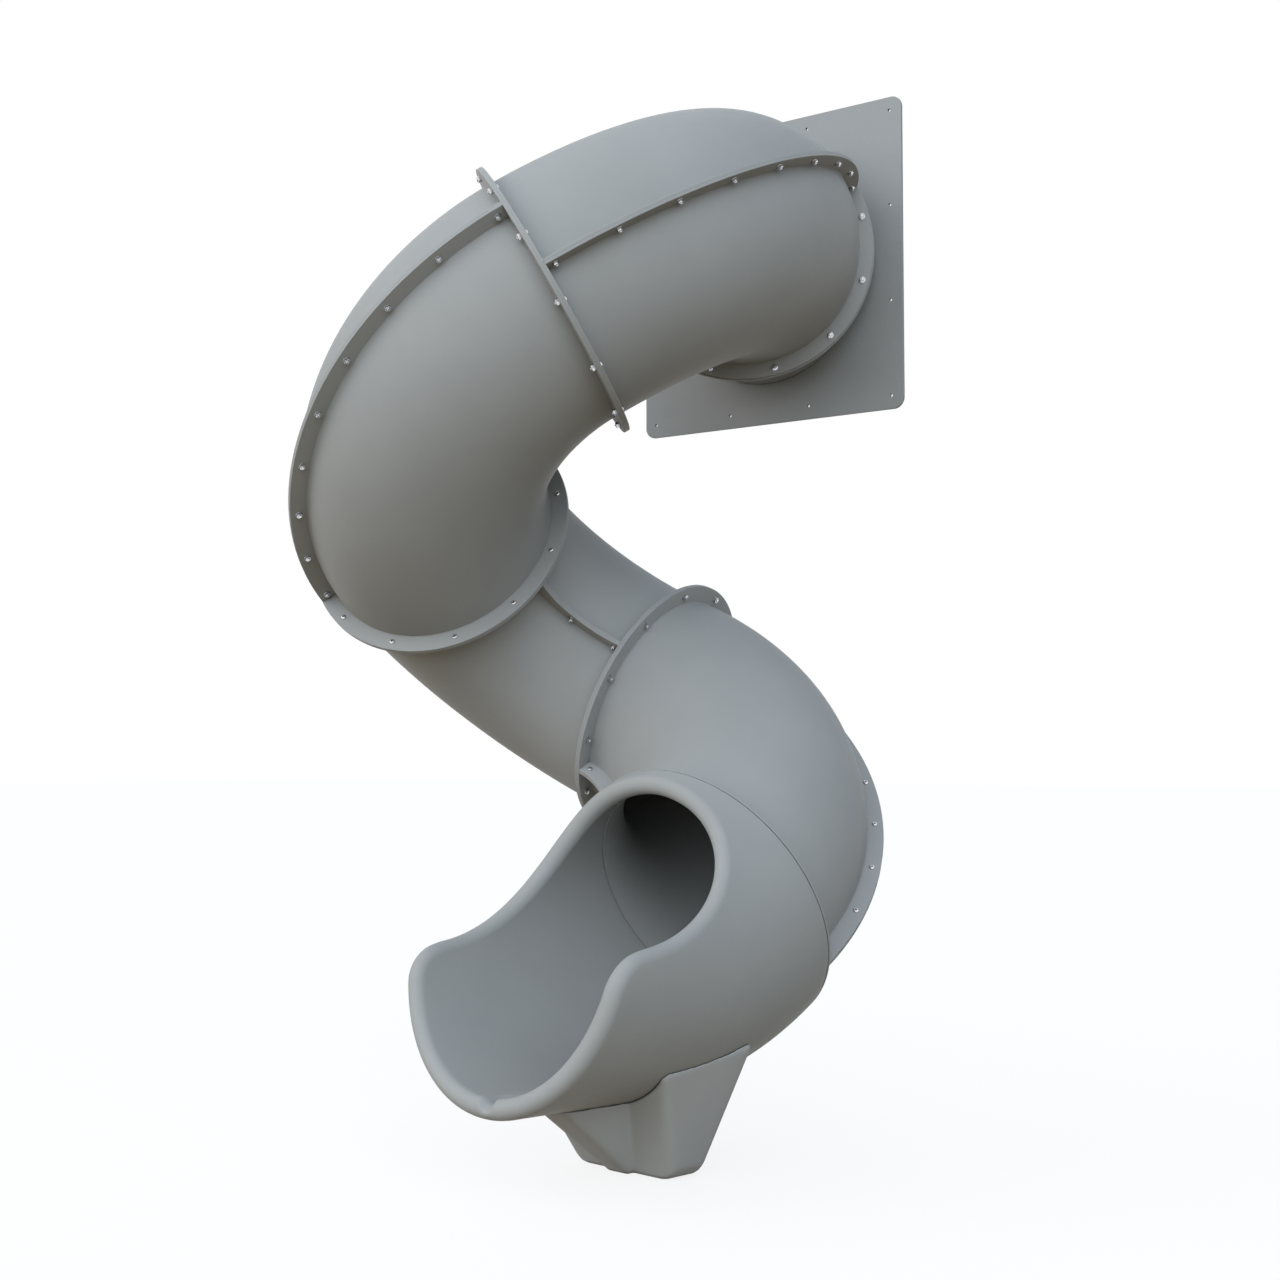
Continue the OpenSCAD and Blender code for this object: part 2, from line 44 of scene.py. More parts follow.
# Sizes of the mouldings, as in the part's source
BORE_R, TUBE_R = 375.0, 383.0
FLANGE_R, SEAM_R = 437.0, 436.0  # rims of the ring flanges and of the seam flanges
FLANGE_T = 8.5
BEND_R, BEND_ANGLE = 664.0, 90.0  # of an elbow
ENTRY_R, ENTRY_ANGLE = 549.0, 35.0
ENTRY_TURN, ELBOW_TURNS, EXIT_TURN = -150, (30, 60, 60), -60  # about the tube, from module to module
ELBOWS = 1 + len(ELBOW_TURNS)
PANEL_SIDE, PANEL_T, PANEL_CORNER = 1050.0, 10.0, 38.0
PANEL_HOLE_D, PANEL_INSET, PANEL_HOLES = 10.0, 45.0, 4  # fixing holes, as many along each side
PANEL_GAP = 0.3  # round the tube in the panel's opening
EXIT_IN, EXIT_OUT = 379.0, 437.0  # radii of the exit's inner and outer skin
EXIT_BEND_R, EXIT_ANGLE = 820.0, 30.0
EXIT_HEIGHT = 261.0  # of the exit's level floor above the ground
FOOT_BACK = 133.0  # from the start of the level floor back to the middle of the foot's base

# Sizes and places of the fasteners, as in the part's source
BOLT_R = 409.0  # from the tube's middle line, in joints and seams alike
JOINT_BOLTS = 12
OUTER_BOLTS, INNER_BOLTS = 9, 3  # in the outside seam and in the inside seam of an elbow
SEAM_GAP = 35.0  # from an elbow's end to the first bolt of a seam
BOLT_D, HEAD_D, HEAD_H = 10.0, 17.5, 5.5
SOCKET_AF, SOCKET_DEPTH = 6.0, 3.2
NUT_AF, NUT_H = 17.0, 8.0
WASHER_D, WASHER_T = 21.0, 2.0
STAND_OUT = 3.0  # how far a bolt stands out of its nut
INSERT_GRIP = 16.0  # how deep a bolt goes into an insert of the exit
HOLE_GAP, THREAD_GAP = 0.5, 0.1  # all round a bolt, in its washer and in its nut


# The chain of modules. A place on it is a point, the way down the tube and the way to the bend's centre.
def vec(*x):
    return np.array(x, float)


def spin(v, axis, angle):
    a = math.radians(angle)
    return v * math.cos(a) + np.cross(axis, v) * math.sin(a) + axis * (axis @ v) * (1 - math.cos(a))


def turned(place, angle):
    return (place[0], place[1], spin(place[2], place[1], angle))


def moved(place, by):
    return (place[0] + by, place[1], place[2])


def after_bend(place, r, angle):
    s, c = math.sin(math.radians(angle)), math.cos(math.radians(angle))
    p, t, b = place
    return (p + r * (s * t + (1 - c) * b), c * t + s * b, c * b - s * t)


def after_elbow(place):
    return after_bend(place, BEND_R, BEND_ANGLE)


def in_bend(place, r, angle, out, side):
    """A point beside the middle line of a bend, out from the bend's centre and to the side."""
    p, t, b = place
    a = math.radians(angle)
    e = -b * math.cos(a) + t * math.sin(a)
    return p + r * b + (r + out) * e + side * np.cross(-b, t)


entry_start = (vec(0, 0, 0), vec(0, -1, 0), vec(1, 0, 0))
entry_end = after_bend(entry_start, ENTRY_R, ENTRY_ANGLE)
starts = [turned(entry_end, ENTRY_TURN)]
for turn in ELBOW_TURNS:
    starts.append(turned(after_elbow(starts[-1]), turn))
exit_start = turned(after_elbow(starts[-1]), EXIT_TURN)
level = after_bend(exit_start, EXIT_BEND_R, EXIT_ANGLE)

# The middle of the foot's base becomes the origin.
foot_way = vec(level[1][0], level[1][1], 0)
foot_way /= np.linalg.norm(foot_way)
base = vec(level[0][0], level[0][1], level[0][2] - EXIT_IN - EXIT_HEIGHT) - FOOT_BACK * foot_way
entry_start, entry_end, level = (moved(place, -base) for place in (entry_start, entry_end, level))
starts = [moved(place, -base) for place in starts]
joints = [starts[0]] + [after_elbow(place) for place in starts]


# Building of meshes
class Shape:
    """Gathers grids of points into one mesh, in millimetres."""

    def __init__(self):
        self.points, self.faces, self.count = [], [], 0

    def grid(self, rows, close_rows=False, cap=False):
        """Adds rows of as many points each, every row closed on itself. The last may join the first."""
        rows = np.asarray(rows, float)
        m, n = rows.shape[:2]
        at = self.count
        self.points.append(rows.reshape(-1, 3))
        self.count += m * n
        for j in range(m if close_rows else m - 1):
            k = (j + 1) % m
            for i in range(n):
                h = (i + 1) % n
                self.faces.append((at + j * n + i, at + j * n + h, at + k * n + h, at + k * n + i))
        if cap:
            self.faces.append(tuple(at + i for i in range(n))[::-1])
            self.faces.append(tuple(at + (m - 1) * n + i for i in range(n)))

    def object(self, name, material, replaces, sharp=35.0):
        mesh = bpy.data.meshes.new(name)
        mesh.from_pydata((np.concatenate(self.points) * MM).tolist(), [], self.faces)
        bm = bmesh.new()
        bm.from_mesh(mesh)
        bmesh.ops.recalc_face_normals(bm, faces=bm.faces)
        bm.to_mesh(mesh)
        bm.free()
        finished(mesh, name, material, replaces, sharp)


def finished(mesh, name, material, replaces, sharp=None):
    """The smooth-shaded piece of a mesh, with its edges sharp from an angle on."""
    mesh.polygons.foreach_set("use_smooth", [True] * len(mesh.polygons))
    if sharp is not None:
        mesh.set_sharp_from_angle(angle=math.radians(sharp))
    mesh.materials.append(material)
    obj = bpy.data.objects.new(name, mesh)
    bpy.context.scene.collection.objects.link(obj)
    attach(obj, "root")
    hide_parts(*replaces)
    return obj


def arc(cx, cy, r, a0, a1, n):
    """Points of an arc in n steps, its angles in degrees."""
    angles = [math.radians(a0 + (a1 - a0) * k / n) for k in range(n + 1)]
    return [(cx + r * math.cos(a), cy + r * math.sin(a)) for a in angles]


def circle(cx, cy, r, n):
    return arc(cx, cy, r, 0, 360 * (n - 1) / n, n - 1)


def unit(rows):
    return rows / np.linalg.norm(rows, axis=1)[:, None]


# Materials
PLASTIC_SHEEN = 0.03  # specular level, low because the white backdrop shows in glossy surfaces
PLASTIC_ROUGHNESS = 0.46
MOTTLE = 0.035  # how far the clouding goes from a plastic's colour


def new_material(name):
    material = bpy.data.materials.new(name)
    material.use_nodes = True
    nodes, links = material.node_tree.nodes, material.node_tree.links
    return material, nodes, links, nodes["Principled BSDF"]


def noise(nodes, links, at, scale, detail, rough, distortion=0.0):
    n = nodes.new("ShaderNodeTexNoise")
    n.inputs["Scale"].default_value = scale
    n.inputs["Detail"].default_value = detail
    n.inputs["Roughness"].default_value = rough
    n.inputs["Distortion"].default_value = distortion
    links.new(at, n.inputs["Vector"])
    return n.outputs["Fac"]


def ramp(nodes, links, source, stops):
    """Colours or greys for the values of a socket."""
    r = nodes.new("ShaderNodeValToRGB")
    while len(r.color_ramp.elements) < len(stops):
        r.color_ramp.elements.new(0.5)
    for element, (position, tone) in zip(r.color_ramp.elements, stops):
        element.position = position
        element.color = (*tone, 1.0) if hasattr(tone, "__len__") else (tone, tone, tone, 1.0)
    links.new(source, r.inputs["Fac"])
    return r.outputs["Color"]


def multiplied(nodes, links, a, b):
    mix = nodes.new("ShaderNodeMix")
    mix.data_type, mix.blend_type = "RGBA", "MULTIPLY"
    mix.inputs["Factor"].default_value = 1.0
    links.new(a, mix.inputs["A"])
    links.new(b, mix.inputs["B"])
    return mix.outputs["Result"]


def painted_hollow_shade(nodes, links, reach, stops):
    """Painted shade: the colour darkens in corners and hollows up to a reach away, in metres."""
    hollow = nodes.new("ShaderNodeAmbientOcclusion")
    hollow.samples = 8
    hollow.inputs["Distance"].default_value = reach
    return ramp(nodes, links, hollow.outputs["AO"], stops)


def relief(nodes, links, height, strength, distance, below=None):
    """Bumps of a height, on top of the relief below if one is given. The distance is in metres."""
    bump = nodes.new("ShaderNodeBump")
    bump.inputs["Strength"].default_value = strength
    bump.inputs["Distance"].default_value = distance
    links.new(height, bump.inputs["Height"])
    if below is not None:
        links.new(below, bump.inputs["Normal"])
    return bump.outputs["Normal"]


def plastic(name, colour, peel=0.10):
    """Rotomoulded polyethylene: soft sheen, orange peel, slow waves, faint clouds and painted shade in
    its corners.
    """
    material, nodes, links, bsdf = new_material(name)
    at = nodes.new("ShaderNodeTexCoord").outputs["Object"]
    cloud = noise(nodes, links, at, scale=3.1, detail=4.0, rough=0.55)
    speck = noise(nodes, links, at, scale=900.0, detail=2.0, rough=0.6)
    low, high = (tuple(c * share for c in colour) for share in (1 - MOTTLE, 1 + MOTTLE))
    clouded = ramp(nodes, links, cloud, [(0.3, low), (0.7, high)])
    specks = ramp(nodes, links, speck, [(0.25, 0.93), (0.75, 1.07)])
    specked = multiplied(nodes, links, clouded, specks)
    # painted shade: the colour is darker in corners and hollows, where shade falls
    painted_shade = painted_hollow_shade(nodes, links, reach=0.016, stops=[(0.25, (0.56, 0.54, 0.51)), (0.75, 1.0)])
    links.new(multiplied(nodes, links, specked, painted_shade), bsdf.inputs["Base Color"])
    scuff = noise(nodes, links, at, scale=26.0, detail=6.0, rough=0.7, distortion=0.6)
    smoother, rougher = PLASTIC_ROUGHNESS - 0.04, PLASTIC_ROUGHNESS + 0.06
    links.new(ramp(nodes, links, scuff, [(0.35, smoother), (0.75, rougher)]), bsdf.inputs["Roughness"])
    fine = noise(nodes, links, at, scale=420.0, detail=3.0, rough=0.55)
    slow = noise(nodes, links, at, scale=9.0, detail=2.0, rough=0.4)
    skin = relief(nodes, links, fine, strength=peel, distance=0.0006)
    skin = relief(nodes, links, slow, strength=0.10, distance=0.004, below=skin)
    links.new(skin, bsdf.inputs["Normal"])
    bsdf.inputs["Specular IOR Level"].default_value = PLASTIC_SHEEN
    return material


def metal(name, colour, roughness, spread):
    """Metal with faint stains and gritty sheen, and painted shade that darkens it in its hollows and
    where it sits on a flange.
    """
    material, nodes, links, bsdf = new_material(name)
    bsdf.inputs["Metallic"].default_value = 1.0
    at = nodes.new("ShaderNodeTexCoord").outputs["Object"]
    stain = noise(nodes, links, at, scale=160.0, detail=4.0, rough=0.6)
    tone = ramp(nodes, links, stain, [(0.3, tuple(c * 0.9 for c in colour)), (0.7, colour)])
    # painted shade: nearly black in the socket and where the fastener meets a flange
    painted_shade = painted_hollow_shade(nodes, links, reach=0.012, stops=[(0.30, 0.04), (0.80, 1.0)])
    links.new(multiplied(nodes, links, tone, painted_shade), bsdf.inputs["Base Color"])
    grit = noise(nodes, links, at, scale=1400.0, detail=3.0, rough=0.6)
    rough = ramp(nodes, links, grit, [(0.3, roughness), (0.7, roughness + spread)])
    links.new(rough, bsdf.inputs["Roughness"])
    links.new(relief(nodes, links, grit, strength=0.08, distance=0.0002), bsdf.inputs["Normal"])
    return material


GREY = (0.302, 0.301, 0.293)
shell_mat = plastic("shell_plastic", GREY)
panel_mat = plastic("panel_plastic", (0.288, 0.289, 0.284), peel=0.16)
exit_mat = plastic("exit_plastic", GREY)
# The foot's grey is lighter than the exit's: painted light, for the light the ground throws on the foot.
foot_mat = plastic("foot_plastic", (0.345, 0.342, 0.330))
zinc_mat = metal("zinc_steel", (0.76, 0.77, 0.79), 0.10, 0.12)
brass_mat = metal("brass", (0.62, 0.46, 0.20), 0.28, 0.18)


# Half shells
RING_FILLET = 2.6  # rounding between a flange and its tube
JOINT_EDGE, RIM_EDGE = 0.6, 1.3  # roundings of a flange's rim, at the joint and away from it
FLANGE_ROOT = 2.0  # how deep a ring flange goes into the tube's wall
GROOVE_W, GROOVE_DEPTH = 1.5, 9.0  # of the gap that shows at the first and last joints, half its width
GROOVE_EDGE = 1.2  # rounding of a flange's rim beside that gap
FRONT_INSET = 5.0  # how far the front flange of the first joint stays inside the one behind it
BORE_EDGE = [(0.3, 0.3), (0.0, 1.0)]  # from a bore to a flat face: way off the face, and off the bore
BORE_EDGE_ANGLE = 0.16  # how far round the tube that edge reaches, in degrees
BEND_EDGE = [(0.0, 1.2), (0.6, 0.35), (1.5, 0.0)]  # way from a bend's end, and how much its bore grows
BEND_STEP, BEND_END_STEP = 24, 6.0  # between the rows of a bend, and from its end to the first of them
LAST_EDGE = 0.25  # share of the bore's widening where the last elbow meets the exit
SEAM_SLIT = 0.03  # from a half ring to the seam, in degrees
EDGE_STEPS, SEAM_FILLET_STEPS, RING_FILLET_STEPS, HALF_ROUND_STEPS = 4, 5, 6, 60


def shell_section(grow):
    """Section of a half shell with its seam flanges, one closed loop, its bore wider by grow."""
    f, bore = RING_FILLET, BORE_R + grow
    (mid_y, mid_x), (_, edge_x) = BORE_EDGE
    tube_a = math.degrees(math.asin((FLANGE_T + f) / (TUBE_R + f)))
    foot_x = math.sqrt((TUBE_R + f) ** 2 - (FLANGE_T + f) ** 2)
    right = [(bore + edge_x, 0.0), (SEAM_R - JOINT_EDGE, 0.0)]
    right += arc(SEAM_R - JOINT_EDGE, JOINT_EDGE, JOINT_EDGE, -90, 0, EDGE_STEPS)[1:]
    right += arc(SEAM_R - RIM_EDGE, FLANGE_T - RIM_EDGE, RIM_EDGE, 0, 90, EDGE_STEPS)
    right += arc(foot_x, FLANGE_T + f, f, 270, 180 + tube_a, SEAM_FILLET_STEPS)
    outer = arc(0, 0, TUBE_R, tube_a, 180 - tube_a, HALF_ROUND_STEPS)[1:-1]
    left = [(-x, y) for x, y in reversed(right)]
    inner = arc(0, 0, bore, 180 - BORE_EDGE_ANGLE, BORE_EDGE_ANGLE, HALF_ROUND_STEPS)
    return right + outer + left + [(-bore - mid_x, mid_y)] + inner + [(bore + mid_x, mid_y)]


def ring_section(grooved=False, inset=0.0):
    """Section of a ring flange, (radius, way along the tube), with its fillet onto the tube."""
    f, edge = RING_FILLET, GROOVE_EDGE if grooved else JOINT_EDGE
    back, rim, root = GROOVE_W if grooved else 0.0, FLANGE_R - inset, TUBE_R - FLANGE_ROOT
    loop = [(root, 0.0), (rim - GROOVE_DEPTH, 0.0), (rim - GROOVE_DEPTH, back), (rim - edge, back)]
    loop += arc(rim - edge, back + edge, edge, -90, 0, EDGE_STEPS)[1:]
    loop += arc(rim - RIM_EDGE, FLANGE_T - RIM_EDGE, RIM_EDGE, 0, 90, EDGE_STEPS)
    loop += arc(TUBE_R + f, FLANGE_T + f, f, 270, 180, RING_FILLET_STEPS)
    return loop + [(root, FLANGE_T + f)]


def bend_steps(angle, r, last_edge=1.0):
    """Angles along a bend, close together at its ends, and how much wider the bore is at each."""
    total = math.radians(angle) * r
    between = np.linspace(BEND_END_STEP, total - BEND_END_STEP, int(total / BEND_STEP) + 2)
    ways = BEND_EDGE + [(way, 0.0) for way in between]
    ways += [(total - way, grow * last_edge) for way, grow in reversed(BEND_EDGE)]
    return [(math.degrees(way / r), grow) for way, grow in ways]


def half_shell(number, side, node):
    """One half of an elbow, whose seam flanges lie on the elbow's plane."""
    start, first, last = starts[number - 1], number == 1, number == ELBOWS
    shape = Shape()
    rows = []
    for angle, grow in bend_steps(BEND_ANGLE, BEND_R, LAST_EDGE if last else 1.0):
        rows.append([in_bend(start, BEND_R, angle, x, side * y) for x, y in shell_section(grow)])
    shape.grid(rows, cap=True)
    for (p, t, b), way, section in (
        (start, 1.0, ring_section(first, FRONT_INSET if first else 0.0)),
        (after_elbow(start), -1.0, ring_section(last)),
    ):
        z = side * np.cross(-b, t)
        rows = []
        for phi in np.radians(np.linspace(SEAM_SLIT, 180 - SEAM_SLIT, HALF_ROUND_STEPS + 1)):
            radial = -b * math.cos(phi) + z * math.sin(phi)
            rows.append([p + r * radial + way * d * t for r, d in section])
        shape.grid(rows, cap=True)
    shape.object(node + "_moulding", shell_mat, [node])


# Entry bend and panel
ENTRY_SIDES, CORNER_STEPS, HOLE_SIDES = 144, 12, 24
BACK_EDGE, BACK_EDGE_MID = 2.0, 0.6  # rounding of the entry bend's edges behind the panel
PANEL_RINGS = (-PANEL_T - 1, -PANEL_T, -2.0, 0.0)  # where the tube's outside has rings in the panel
PANEL_EDGE = 1.2  # rounding of the panel's edges
RIGHT_ANGLED = 1.2  # edges of the panel that turn by more than this are rounded, in radians


def entry_tube():
    """The entry bend, from its flange behind the panel to the first joint."""
    angles = [2 * math.pi * k / ENTRY_SIDES for k in range(ENTRY_SIDES)]

    def ring(place, r):
        p, t, b = place
        side = np.cross(-b, t)
        return [p + r * (-b * math.cos(a) + side * math.sin(a)) for a in angles]

    def back_ring(way, r):
        return ring(moved(entry_start, way * entry_start[1]), r)

    back = PANEL_T + FLANGE_T
    outer = [back_ring(way, TUBE_R) for way in (BACK_EDGE - back, *PANEL_RINGS)]
    inner = [back_ring(-back, BORE_R + BACK_EDGE)]
    inner.append(back_ring(BACK_EDGE_MID - back, BORE_R + BACK_EDGE_MID))
    inner += [back_ring(way, BORE_R) for way in (BACK_EDGE - back, *PANEL_RINGS[-2:])]
    for angle, grow in bend_steps(ENTRY_ANGLE, ENTRY_R)[1:]:
        place = after_bend(entry_start, ENTRY_R, angle)
        outer.append(ring(place, TUBE_R))
        inner.append(ring(place, BORE_R + grow))
    shape = Shape()
    shape.grid(outer + inner[::-1], close_rows=True)

    back_section = [(BORE_R + BACK_EDGE, 0.0)]
    back_section += arc(FLANGE_R - BACK_EDGE, BACK_EDGE, BACK_EDGE, -90, 0, EDGE_STEPS)
    back_section += [(FLANGE_R, FLANGE_T), (TUBE_R - FLANGE_ROOT, FLANGE_T)]
    for (p, t, b), way, section in (
        (entry_end, -1.0, ring_section(True)),
        (moved(entry_start, -back * entry_start[1]), 1.0, back_section),
    ):
        side = np.cross(-b, t)
        rows = []
        for a in angles:
            radial = -b * math.cos(a) + side * math.sin(a)
            rows.append([p + r * radial + way * d * t for r, d in section])
        shape.grid(rows, close_rows=True)
    shape.object("entry_bend_moulding", shell_mat, ["entry_bend"])


def panel_loops():
    """Outlines of the square panel, of its round opening and of its fixing holes."""
    half, r = PANEL_SIDE / 2, PANEL_CORNER
    outline = []
    for cx, cy, a in ((1, 1, 0), (-1, 1, 90), (-1, -1, 180), (1, -1, 270)):
        outline += arc(cx * (half - r), cy * (half - r), r, a, a + 90, CORNER_STEPS)
    loops = [outline, circle(0, 0, TUBE_R + PANEL_GAP, ENTRY_SIDES)]
    line, last = half - PANEL_INSET, PANEL_HOLES - 1
    for i in range(PANEL_HOLES):
        for k in range(PANEL_HOLES):
            if i in (0, last) or k in (0, last):
                across, up = i * 2 * line / last - line, k * 2 * line / last - line
                loops.append(circle(across, up, PANEL_HOLE_D / 2, HOLE_SIDES))
    return loops


def entry_plate():
    """The square panel, with its corners and edges rounded."""
    bm = bmesh.new()
    for loop in panel_loops():
        corners = [bm.verts.new((x * MM, 0.0, y * MM)) for x, y in loop]
        for i in range(len(corners)):
            bm.edges.new((corners[i], corners[(i + 1) % len(corners)]))
    bmesh.ops.triangle_fill(bm, use_beauty=True, use_dissolve=False, edges=bm.edges[:])
    raised = bmesh.ops.extrude_face_region(bm, geom=bm.faces[:])
    for part in raised["geom"]:
        if isinstance(part, bmesh.types.BMVert):
            part.co.y += PANEL_T * MM
    bmesh.ops.recalc_face_normals(bm, faces=bm.faces)
    rims = [e for e in bm.edges if len(e.link_faces) == 2 and e.calc_face_angle() > RIGHT_ANGLED]
    rounding = {"offset": PANEL_EDGE * MM, "segments": 3, "profile": 0.5, "clamp_overlap": True}
    bmesh.ops.bevel(bm, geom=rims, affect="EDGES", **rounding)
    bmesh.ops.translate(bm, verts=bm.verts, vec=Vector((entry_start[0] * MM).tolist()))
    mesh = bpy.data.meshes.new("entry_panel_plate")
    bm.to_mesh(mesh)
    bm.free()
    obj = finished(mesh, "entry_panel_plate", panel_mat, ["entry_panel"], sharp=40.0)
    obj.modifiers.new("flat_faces", "WEIGHTED_NORMAL").keep_sharp = True


# Exit. Its mouth follows a line in side view, of points (way along the exit, height above its middle).
LIP_MID, LIP_R = (EXIT_IN + EXIT_OUT) / 2, (EXIT_OUT - EXIT_IN) / 2  # middle line and radius of the lip
MOUTH_BACK = 175.0  # how far the mouth's top lies behind the start of the level floor
CURVE_TOP, TOP_PULL = vec(-MOUTH_BACK, 400), vec(-MOUTH_BACK, 230)
SIDE_PULL, SIDE_START = vec(-30, 15), vec(250, -20)
MOUTH_CORNER, MOUTH_END = vec(334, -41), vec(413, -LIP_MID)
CORNER_REACH = 58.0  # from the mouth's corner to where its round starts
ROUND_SHARE = 0.56  # how far the round is drawn towards the corner, as a share of that reach
ABOVE_CURVE, BELOW_TOP = 5.0, 0.001  # where the straight stretch above the curve starts and ends
TOP_POINTS, CURVE_POINTS, ROUND_POINTS, END_POINTS = 12, 90, 24, 60
CLOSE_FROM, CLOSE_AFTER = 60.0, 66.0  # the lip's points are closer together this near its end
EVEN_POINTS, CLOSE_POINTS = 104, 16
DRAIN_W, DRAIN_DEPTH, DRAIN_ROUND = 34.0, 17.0, 1.6  # drain groove: half its width, depth and roundness
DRAIN_LEN, DRAIN_EASE = 95.0, 80.0  # its length, and the stretch on which it grows deeper
DRAIN_LIP, DRAIN_LIP_EASE = 0.9, 1.4  # where it starts on the lip's round and deepens, in radians
DRAIN_LEAN = 0.25  # how far it also draws the lip back, as a share of its depth
SKIN_STEPS, SKIN_CROWDING = 44, 1.25  # rows of a skin, closer together towards the lip
LIP_STEPS = 18
OUTER_START, INNER_START = 3.0, 1.0  # where the skins start behind the rounded edges of the joint's face
COLLAR_EDGE = [(0.0, 1.8), (0.3, 0.8), (0.9, 0.2)]  # way off the joint's face, and off the outer skin


def curve(p0, p1, p2, p3, steps):
    """Points from p0 to p3, drawn towards p1 and p2."""
    line = []
    for t in np.linspace(0, 1, steps):
        s = 1 - t
        line.append(s**3 * p0 + 3 * s * s * t * p1 + 3 * s * t * t * p2 + t**3 * p3)
    return line


def mouth_side_view():
    """The lip's middle line in side view."""
    top = EXIT_BEND_R - math.sqrt((EXIT_BEND_R - LIP_MID) ** 2 - MOUTH_BACK**2)
    heights = np.linspace(top - BELOW_TOP, CURVE_TOP[1] + ABOVE_CURVE, TOP_POINTS)
    line = [vec(-MOUTH_BACK, h) for h in heights]
    line += curve(CURVE_TOP, TOP_PULL, SIDE_PULL, SIDE_START, CURVE_POINTS)
    way_in = (MOUTH_CORNER - SIDE_START) / np.linalg.norm(MOUTH_CORNER - SIDE_START)
    way_out = (MOUTH_END - MOUTH_CORNER) / np.linalg.norm(MOUTH_END - MOUTH_CORNER)
    a, b = MOUTH_CORNER - CORNER_REACH * way_in, MOUTH_CORNER + CORNER_REACH * way_out
    pull = ROUND_SHARE * CORNER_REACH
    line += curve(a, a + pull * way_in, b - pull * way_out, b, ROUND_POINTS)
    return line + [b + t * (MOUTH_END - b) for t in np.linspace(0, 1, END_POINTS)[1:]]


def lip_line():
    """One side of the lip's middle line: shares of its length, ways along the exit, and angles."""
    points = []
    for x, h in mouth_side_view():
        if x < 0:  # on the levelling bend
            way = -EXIT_BEND_R * math.atan2(-x, EXIT_BEND_R - h)
            height = EXIT_BEND_R - math.hypot(x, EXIT_BEND_R - h)
        else:
            way, height = x, h
        points.append((way, math.acos(max(-1.0, min(1.0, height / LIP_MID)))))
    points[0], points[-1] = (points[0][0], 0.0), (points[-1][0], math.pi)
    ways, angles = np.array(points).T
    gaps = np.hypot(np.diff(ways), LIP_MID * np.diff(angles))
    lengths = np.concatenate([[0], np.cumsum(gaps)])
    total = lengths[-1]
    even = np.linspace(0, total - CLOSE_AFTER, EVEN_POINTS)
    spots = np.concatenate([even, np.linspace(total - CLOSE_FROM, total, CLOSE_POINTS)])
    return spots / total, np.interp(spots, lengths, ways), np.interp(spots, lengths, angles)


def on_exit(s, phi, r):
    """A point of the exit: way along its middle line, angle from the top, radius."""
    p, t, up = level
    across = np.cross(up, t)
    if s < 0:
        a = -s / EXIT_BEND_R
        axis = p + EXIT_BEND_R * up + EXIT_BEND_R * (-up * math.cos(a) - t * math.sin(a))
        up = up * math.cos(a) + t * math.sin(a)
    else:
        axis = p + s * t
    return axis + r * (up * math.cos(phi) + across * math.sin(phi))


def drain(s, phi):
    """Depth of the drain groove in the floor, which ends at the mouth."""
    side = LIP_MID * abs(abs(phi) - math.pi)
    if side > DRAIN_W:
        return 0.0
    ease = min(1.0, max(0.0, (s - (MOUTH_END[0] - DRAIN_LEN)) / DRAIN_EASE))
    return DRAIN_DEPTH * (1 - (side / DRAIN_W) ** 2) ** DRAIN_ROUND * ease * ease * (3 - 2 * ease)


def both_sides(values, sign=1):
    """Values round the whole exit, from those of one side and its two middle places."""
    return np.concatenate([values, sign * values[-2:0:-1]])


def lip_rows(rim_s, rim_phi, outer_edge):
    """Rows of the lip's round, from the edge of the outer skin to that of the inner one."""
    middle = np.array([on_exit(s, phi, LIP_MID) for s, phi in zip(rim_s, rim_phi)])
    radial = unit(np.array(outer_edge) - middle)
    tangent = unit(np.roll(middle, -1, axis=0) - np.roll(middle, 1, axis=0))
    out = unit(np.cross(radial, tangent))
    if np.sum(out[len(out) // 2] * level[1]) < 0:
        out = -out
    depth = np.array([drain(MOUTH_END[0], phi) for phi in rim_phi])
    rows = []
    for k in range(1, LIP_STEPS):
        a = math.pi * k / LIP_STEPS
        d = (depth * max(0.0, min(1.0, (a - DRAIN_LIP) / DRAIN_LIP_EASE)))[:, None]
        row = middle + LIP_R * (math.cos(a) * radial + math.sin(a) * out)
        rows.append(row + (d * radial - DRAIN_LEAN * d * out))
    return rows


def exit_moulding():
    """The double-wall exit: outer skin, lip, inner skin and the face of its joint."""
    share, rim_s, rim_phi = lip_line()
    joint_phi = both_sides(share * math.pi, -1)
    rim_s, rim_phi = both_sides(rim_s), both_sides(rim_phi, -1)
    columns = range(len(rim_s))
    start = -math.radians(EXIT_ANGLE) * EXIT_BEND_R

    def skin_place(i, t, first):
        """Way along the exit and angle from the top, a share t of the way from the joint to the lip."""
        s = start + first + (rim_s[i] - start - first) * t
        return s, joint_phi[i] + (rim_phi[i] - joint_phi[i]) * t * t * (3 - 2 * t)

    steps = [1 - (1 - k / SKIN_STEPS) ** SKIN_CROWDING for k in range(SKIN_STEPS + 1)]
    rows = []
    for t in steps:
        rows.append([on_exit(*skin_place(i, t, OUTER_START), EXIT_OUT) for i in columns])
    rows += lip_rows(rim_s, rim_phi, rows[-1])
    for t in reversed(steps):
        places = [skin_place(i, t, INNER_START) for i in columns]
        rows.append([on_exit(s, phi, EXIT_IN + drain(s, phi)) for s, phi in places])
    deep = EXIT_OUT - GROOVE_DEPTH
    face = [(way, EXIT_IN + off) for way, off in BORE_EDGE] + [(0.0, deep), (GROOVE_W, deep)]
    face += [(GROOVE_W + way, EXIT_OUT - off) for way, off in COLLAR_EDGE]
    for way, r in face:
        rows.append([on_exit(start + way, joint_phi[i], r) for i in columns])
    shape = Shape()
    shape.grid(rows, close_rows=True)
    shape.object("exit_moulding", exit_mat, ["exit_chute"], sharp=50.0)


